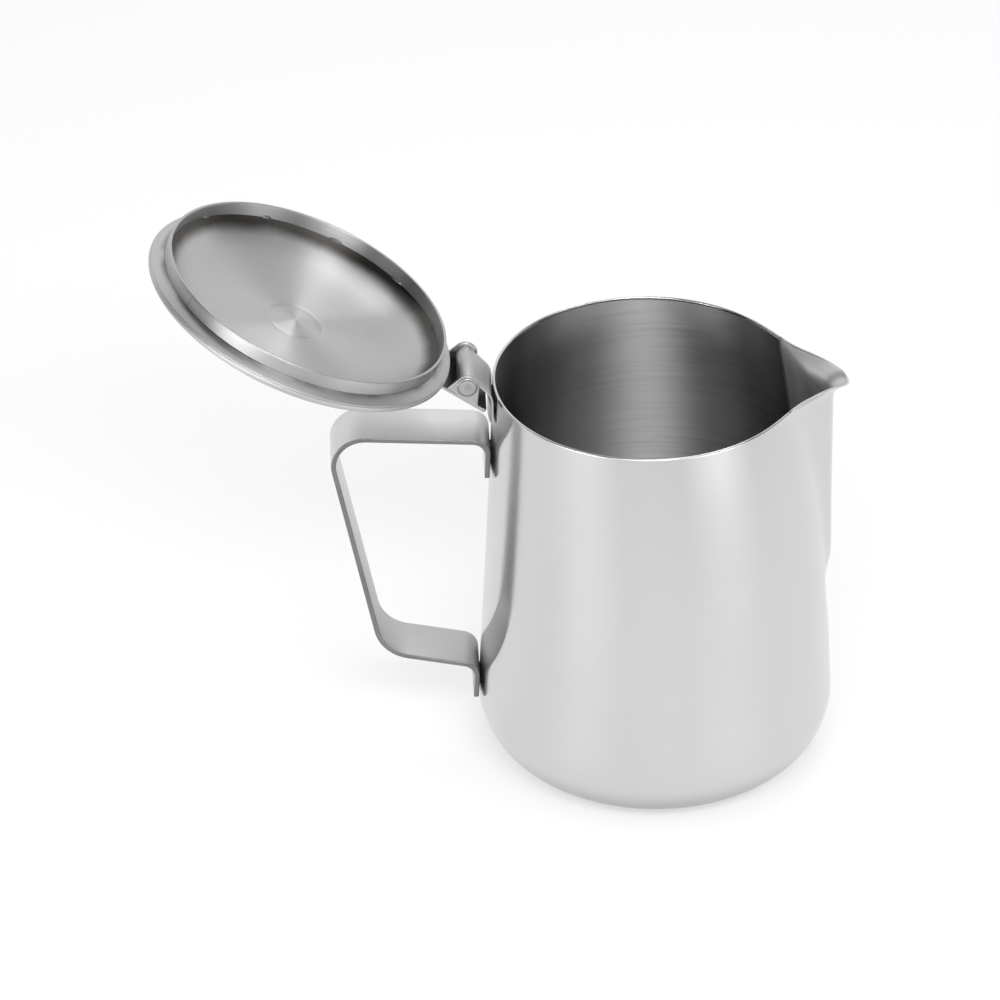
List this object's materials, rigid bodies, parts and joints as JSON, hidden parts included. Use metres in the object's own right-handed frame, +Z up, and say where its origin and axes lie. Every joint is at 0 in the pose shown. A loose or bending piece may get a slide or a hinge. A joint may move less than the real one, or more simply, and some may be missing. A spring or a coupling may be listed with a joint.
{
  "type": "milk jug with hinged lid",
  "caption": "Tapered steel hot milk jug with a pulled pouring spout, a strap handle and a domed, skirted lid that swings open on a rear hinge with a thumb lever.",
  "frame": {"origin": "centre of the flat base, on the jug's axis, at table level", "axes": "+Z up, +X toward the spout, the handle and hinge toward -X"},
  "size_m": [0.2134, 0.1092, 0.182],
  "materials": {
    "polished_steel": "mirror polished outside, brushed round inside",
    "satin_steel": "satin, lightly brushed along the strip",
    "turned_steel": "brushed in circles about the lid's middle",
    "weld_steel": "dull weld metal"
  },
  "bodies": {
    "jug": {"jug_body": "polished_steel", "handle": "satin_steel", "handle_welds": "weld_steel", "hinge_leaf": "satin_steel", "leaf_welds": "weld_steel"},
    "lid": {"hinge_pin": "satin_steel", "hinge_bracket": "satin_steel", "bracket_welds": "weld_steel", "lid_cover": "turned_steel", "lid_skirt": "turned_steel", "skirt_tacks": "weld_steel", "lid_knob": "polished_steel", "knob_weld": "weld_steel"}
  },
  "joints": [
    {"name": "lid_hinge", "type": "hinge", "parent": "jug", "child": "lid", "pos_m": [-0.0583, 0, 0.1359], "axis": [0, -1, 0], "range_deg": [-157.4, 0]}
  ]
}
